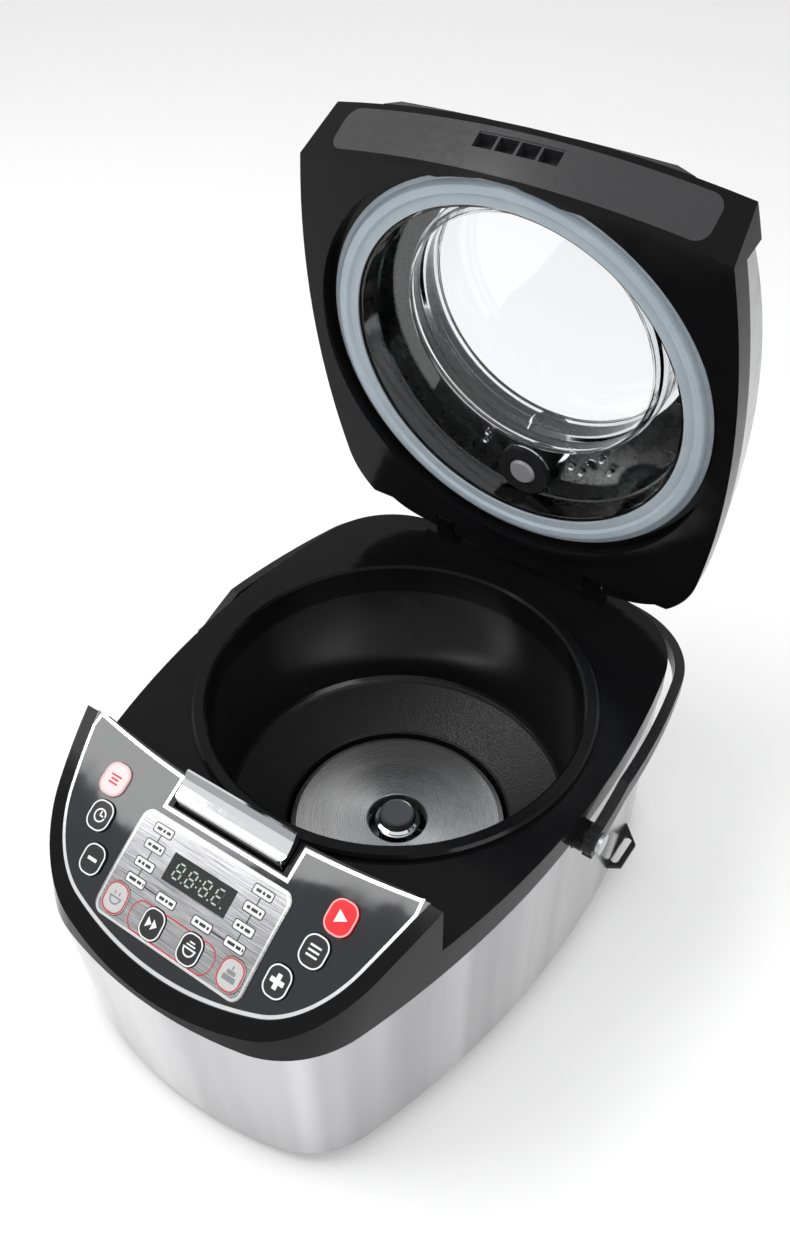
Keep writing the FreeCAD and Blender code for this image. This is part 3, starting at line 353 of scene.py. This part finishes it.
def add_shape(bm, matrix, loop, thick, hole=None):
    """A printed shape: a closed loop in local millimetres, thick millimetres proud.
    A hole is a second loop with as many points."""
    def ring(points, height):
        return [bm.verts.new(matrix @ Vector((u * MM, v * MM, height * MM))) for u, v in points]

    high = ring(loop, thick)
    low = ring(loop, 0.0)
    count = len(loop)
    for n in range(count):
        bm.faces.new((low[n], low[(n + 1) % count], high[(n + 1) % count], high[n]))
    if hole is None:
        bm.faces.new(high)
        bm.faces.new(low[::-1])
        return
    high_in, low_in = ring(hole, thick), ring(hole, 0.0)
    for n in range(count):
        after = (n + 1) % count
        bm.faces.new((high[n], high[after], high_in[after], high_in[n]))
        bm.faces.new((low[after], low[n], low_in[n], low_in[after]))
        bm.faces.new((high_in[n], high_in[after], low_in[after], low_in[n]))


def outline_point(angle, insets, corner):
    """Where the body's outline, moved in by (side, front, rear) metres, faces the given way."""
    way = Vector((math.cos(angle), math.sin(angle)))
    kinds = (0, 0, 1, 2)
    discs = [(Vector(d[:2]), d[2] - insets[k] - corner) for d, k in zip(DISCS, kinds)]
    for centre, radius in discs:
        spot = centre + way * radius
        if all((spot - other).length <= reach + 1e-7 for other, reach in discs):
            return spot + way * corner
    crossings = []
    for side, end, sx, sy in ((0, 2, 1, -1), (1, 2, -1, -1), (0, 3, 1, 1), (1, 3, -1, 1)):
        (c1, r1), (c2, r2) = discs[side], discs[end]
        gap = c2 - c1
        along = (r1 ** 2 - r2 ** 2 + gap.length_squared) / (2 * gap.length)
        across = math.sqrt(max(r1 ** 2 - along ** 2, 0.0))
        middle = c1 + gap.normalized() * along
        turn = Vector((-gap.y, gap.x)).normalized() * across
        crossings.append(max((middle + turn, middle - turn), key=lambda v: v.x * sx + v.y * sy))
    return max(crossings, key=lambda v: v.dot(way)) + way * corner


def panel_edge(angle, inset):
    """A point of the panel's front edge, which leans back with height, in plan millimetres."""
    spot = Vector((0.0, -0.2))
    for _ in range(4):
        depth = PANEL_AXIS.y - spot.y
        height = PANEL_AXIS.z + math.sqrt(PANEL_RADIUS ** 2 - depth ** 2)
        front = 0.0054 + 0.2 * (height - 0.120)
        spot = outline_point(angle, (0.008 + inset, front + inset, 0.008), 0.052)
    return (spot.x / MM, spot.y / MM)


def add_ribbon(bm, path, wide, low, high, closed=True):
    """A narrow raised line that follows the panel along a path in plan millimetres."""
    count = len(path)
    rows = []
    for n, (x, y) in enumerate(path):
        before = Vector(path[n - 1] if closed or n else path[n])
        after = Vector(path[(n + 1) % count] if closed or n < count - 1 else path[n])
        here = Vector((x, y))
        run_in = (here - before).normalized() if here != before else (after - here).normalized()
        run_out = (after - here).normalized() if after != here else run_in
        side_in = Vector((-run_in.y, run_in.x))
        mitre = (side_in + Vector((-run_out.y, run_out.x))).normalized()
        half = wide / 2 / max(mitre.dot(side_in), 0.4)
        row = []
        for edge, lift in ((half, high), (-half, high), (-half, low), (half, low)):
            spot = here + mitre * edge
            row.append(bm.verts.new(tangent_place(spot.x, spot.y, lift).translation))
        rows.append(row)
    last = count if closed else count - 1
    for n in range(last):
        one, two = rows[n], rows[(n + 1) % count]
        for k in range(4):
            bm.faces.new((one[k], one[(k + 1) % 4], two[(k + 1) % 4], two[k]))
    if not closed:
        bm.faces.new(rows[0])
        bm.faces.new(rows[-1][::-1])


def fine(path, step=3.0):
    """The closed path with points added so that none are more than step apart."""
    out = []
    for n, here in enumerate(path):
        here, after = Vector(here), Vector(path[(n + 1) % len(path)])
        parts = max(1, math.ceil((after - here).length / step))
        out += [tuple(here.lerp(after, k / parts)) for k in range(parts)]
    return out


def panel_border(look):
    front = [panel_edge(math.radians(a), 0.0013) for a in range(182, 359)]
    front = [spot for spot in front if spot[1] < -142.0]

    def rear(x):
        return -(145.2 - x * x / (2 * LID_FRONT_RADIUS))

    right = [(x, rear(x)) for x in range(112, 46, -6)]
    notch = [(43.3, rear(43.3)), (43.3, -160.2), (-43.3, -160.2), (-43.3, rear(43.3))]
    left = [(-x, y) for x, y in reversed(right)]
    corners = [(front[-1][0] - 0.6, rear(front[-1][0])), (front[0][0] + 0.6, rear(front[0][0]))]
    path = front + [corners[0]] + right + notch + left + [corners[1]]
    bm = bmesh.new()
    add_ribbon(bm, fine(path), 1.7, -0.2, 0.12)
    piece("panel_border_line", bm, look, "body")


# stand-ins for words on the labels: the lengths of three bars in a row
WORD_BARS = ((3.4, 1.6, 2.8), (2.2, 4.2, 1.4), (1.8, 1.8, 3.6), (4.8, 3.0, 0.8))


def plate_print(line_look, dark_look, pale_look, red_look):
    frame_bm = bmesh.new()
    edge = [(x, y + PLATE_MIDDLE) for x, y in rounded_loop(101.6, 50.6, 5.0)]
    add_ribbon(frame_bm, fine(edge), 1.1, PLATE_TOP - SINK, PLATE_TOP + 0.14)
    piece("display_plate_border", frame_bm, line_look, "body")
    plates, rims, bars, links = bmesh.new(), bmesh.new(), bmesh.new(), bmesh.new()
    spots = [(side * 35.2, y) for side in (-1, 1) for y in (-170.3, -178.8, -187.8, -196.0)]
    spots += [(-12.8, -196.2), (12.8, -196.2)]
    for n, (x, y) in enumerate(spots):
        at = tangent_place(x, y, PLATE_TOP + 0.02)
        outer, inner = rounded_loop(13.6, 5.9, 1.4), rounded_loop(12.5, 4.8, 1.0)
        add_shape(rims, at, outer, 0.14, inner)
        add_shape(plates, at, inner, 0.08)
        run = -4.6
        for wide in WORD_BARS[n % len(WORD_BARS)]:
            add_shape(bars, at @ Matrix.Translation((0, 0, 0.09 * MM)),
                      rounded_loop(wide, 1.7, 0.3, (run + wide / 2, 0.0), 2), 0.06)
            run += wide + 0.9
    for side in (-1, 1):
        add_ribbon(links, [(side * 35.2, y) for y in (-172.8, -176.6, -184.6, -193.6)], 0.7,
                   PLATE_TOP - SINK, PLATE_TOP + 0.05, False)
        add_ribbon(links, [(side * x, -196.3) for x in (28.4, 24.0, 19.6)], 0.7,
                   PLATE_TOP - SINK, PLATE_TOP + 0.05, False)
    piece("program_labels", plates, pale_look, "body")
    piece("program_label_rims", rims, dark_look, "body")
    piece("program_label_bars", bars, dark_look, "body")
    piece("program_links", links, dark_look, "body")
    lozenge = bmesh.new()
    add_ribbon(lozenge, fine([(x, y - 208.0) for x, y in rounded_loop(59.0, 13.6, 6.6)]), 0.6,
               PLATE_TOP - SINK, PLATE_TOP + 0.06)
    piece("quick_keys_outline", lozenge, red_look, "body")


# each segment: its middle in half widths and heights, and whether it stands upright
SEGMENTS = (
    ((0, 1), False), ((0, 0), False), ((0, -1), False),
    ((-1, 0.5), True), ((1, 0.5), True), ((-1, -0.5), True), ((1, -0.5), True),
)
ALL_LIT = (0, 1, 2, 3, 4, 5, 6)
LAST_DIGIT = (0, 1, 2, 3, 5)


def digits(look, unlit):
    """Four seven-segment digits behind the display's glass, with a colon in the middle."""
    lit, dark = bmesh.new(), bmesh.new()
    wide, tall = 4.6, 8.6
    shown = (ALL_LIT, ALL_LIT, ALL_LIT, LAST_DIGIT)
    for place, on in zip((-14.6, -5.6, 4.4, 13.4), shown):
        for n, ((u, v), upright) in enumerate(SEGMENTS):
            x, y = place + u * wide / 2 + v * 0.5, v * tall / 2
            long = (tall / 2 if upright else wide) - 1.1
            half = 0.45
            loop = [(-long / 2, 0), (-long / 2 + half, -half), (long / 2 - half, -half),
                    (long / 2, 0), (long / 2 - half, half), (-long / 2 + half, half)]
            if upright:
                loop = [(-b + a * 0.11, a) for a, b in loop]
            at = tangent_place(0.0, DISPLAY_MIDDLE, GLASS_TOP + 0.02)
            add_shape(lit if n in on else dark, at, [(x + a, y + b) for a, b in loop], 0.06)
    at = tangent_place(0.0, DISPLAY_MIDDLE, GLASS_TOP + 0.02)
    for x, y in ((-0.5, 2.0), (-0.9, -2.0), (-10.2, -4.3), (8.6, -4.3), (17.6, -4.3)):
        add_shape(lit, at, rounded_loop(1.0, 1.0, 0.45, (x, y), 3), 0.06)
    piece("display_digits", lit, look, "body")
    piece("display_unlit_segments", dark, unlit, "body")


def arc_loop(radius, wide, start, end, steps=20):
    angles = [math.radians(start + (end - start) * n / steps) for n in range(steps + 1)]
    big, small = radius + wide / 2, radius - wide / 2
    outer = [(big * math.cos(a), big * math.sin(a)) for a in angles]
    inner = [(small * math.cos(a), small * math.sin(a)) for a in reversed(angles)]
    return outer + inner


def bar(wide, tall, x=0.0, y=0.0, radius=0.3):
    return rounded_loop(wide, tall, radius, (x, y), 2)


PICTOGRAMS = {
    "cancel": (bar(7.6, 1.1, 0, 2.0), bar(5.4, 1.1, 0, -0.2), bar(6.6, 1.1, 0, -2.4)),
    "preset": (arc_loop(3.6, 0.9, 0, 350), bar(0.9, 3.0, 0, 1.2), bar(2.6, 0.9, 1.0, 0)),
    "minus": (bar(6.4, 1.9),),
    "rice": (arc_loop(3.4, 0.9, 180, 360), bar(8.4, 0.9, 0, 0.3),
             bar(0.8, 1.8, -1.6, 2.6), bar(0.8, 1.8, 1.6, 2.6)),
    "fast": ([(-3.6, -3.0), (-0.2, 0), (-3.6, 3.0)], [(0.2, -3.0), (3.6, 0), (0.2, 3.0)]),
    "porridge": (arc_loop(3.6, 0.9, 180, 360), bar(8.6, 0.9, 0, 0.3),
                 bar(6.0, 0.8, 0, 2.2), bar(3.6, 0.8, 0, 3.9)),
    "cake": (bar(8.0, 3.0, 0, -2.0, 0.4), bar(5.4, 2.2, 0, 1.2, 0.4), bar(0.8, 2.2, 0, 3.8)),
    "plus": (bar(8.4, 2.7), bar(2.7, 2.85, 0, 2.8), bar(2.7, 2.85, 0, -2.8)),
    "function": (bar(7.0, 1.1, 0, 2.6), bar(7.0, 1.1), bar(7.0, 1.1, 0, -2.6)),
    "start": ([(-2.6, -3.6), (4.0, 0.0), (-2.6, 3.6)],),
}


def key_print(white, grey, red, pink):
    """Rings and pictograms that ride on their keys."""
    inks = {"cancel": (pink, red), "rice": (red, grey), "cake": (red, grey), "start": (pink, white)}
    for name, (x, y, wide, long) in KEYS.items():
        ring_ink, mark_ink = inks.get(name, (white, white))
        at = tangent_place(x, y, KEY_TOP + 0.01)
        ring_bm, mark_bm = bmesh.new(), bmesh.new()
        radius = 0.42 * wide
        add_shape(ring_bm, at, rounded_loop(wide - 0.5, long - 0.5, radius - 0.25, steps=8), 0.07,
                  rounded_loop(wide - 2.1, long - 2.1, radius - 1.05, steps=8))
        piece(name + "_key_ring", ring_bm, ring_ink, name + "_key")
        for loop in PICTOGRAMS[name]:
            add_shape(mark_bm, at, loop, 0.07)
        piece(name + "_key_mark", mark_bm, mark_ink, name + "_key")


def ink(name, colour, rough=0.35):
    look = Look(name, colour, rough)
    worn = tuple(c * 0.93 for c in colour)
    look.link(look.blend(look.noise(0.0015), worn, colour), "Base Color")
    look.uneven(0.001, rough * 0.8, rough * 1.2)
    return look.mat


def print_panel():
    white, dark = ink("white_ink", (0.78, 0.79, 0.80)), ink("dark_ink", (0.02, 0.02, 0.022))
    red, pink = ink("red_ink", (0.5, 0.02, 0.03)), ink("pink_ink", (0.62, 0.40, 0.40))
    silver = Look("silver_line", (0.78, 0.78, 0.79), 0.25, 0.8)
    silver.uneven(0.002, 0.2, 0.32)
    silver.link(silver.blend(silver.noise(0.01), (0.70, 0.70, 0.71), (0.85, 0.85, 0.86)), "Base Color")
    panel_border(silver.mat)
    plate_print(silver.mat, dark, white, red)
    lit = ink("lit_segments", (0.42, 0.50, 0.45), 0.25)
    unlit = ink("unlit_segments", (0.03, 0.033, 0.03), 0.3)
    digits(lit, unlit)
    key_print(white, ink("grey_ink", (0.22, 0.22, 0.23)), red, pink)


# ------------------------------------------------------------------ stage

def studio():
    scene = bpy.context.scene
    mesh = bpy.data.meshes.new("studio_floor")
    mesh.from_pydata([(-6, -6, 0), (6, -6, 0), (6, 6, 0), (-6, 6, 0)], [], [(0, 1, 2, 3)])
    floor = bpy.data.objects.new("studio_floor", mesh)
    scene.collection.objects.link(floor)
    look = Look("floor_white", (0.93, 0.93, 0.93), 0.6)
    look.put("Specular IOR Level", 0.1)
    look.link(look.blend(look.noise(0.8), (0.92, 0.92, 0.92), (0.94, 0.94, 0.94)), "Base Color")
    mesh.materials.append(look.mat)
    world = bpy.data.worlds.new("soft_world")
    world.use_nodes = True
    world.node_tree.nodes["Background"].inputs["Color"].default_value = (1, 1, 1, 1)
    world.node_tree.nodes["Background"].inputs["Strength"].default_value = 0.8
    scene.world = world
    scene.view_settings.view_transform = "Standard"


def lamp(name, place, aim, power, wide, tall):
    data = bpy.data.lights.new(name, "AREA")
    data.shape = "RECTANGLE"
    data.energy = power
    data.size, data.size_y = wide, tall
    lit = bpy.data.objects.new(name, data)
    lit.location = place
    lit.rotation_euler = (Vector(aim) - Vector(place)).to_track_quat("-Z", "Y").to_euler()
    bpy.context.scene.collection.objects.link(lit)


def camera():
    data = bpy.data.cameras.new("camera")
    data.lens = 32.93
    data.sensor_width = 36.0
    data.clip_start, data.clip_end = 0.01, 50.0
    eye = bpy.data.objects.new("camera", data)
    eye.location = (0.2892, -0.4060, 0.6957)
    eye.rotation_euler = (math.radians(46.80), math.radians(0.64), math.radians(34.80))
    bpy.context.scene.collection.objects.link(eye)
    bpy.context.scene.camera = eye


dress()
print_panel()
studio()
lamp("key_softbox", (-0.9, -0.5, 1.7), (0, 0, 0.15), 18, 1.0, 1.0)
lamp("side_softbox", (1.4, -0.4, 0.9), (0, 0, 0.15), 9, 0.7, 1.0)
camera()
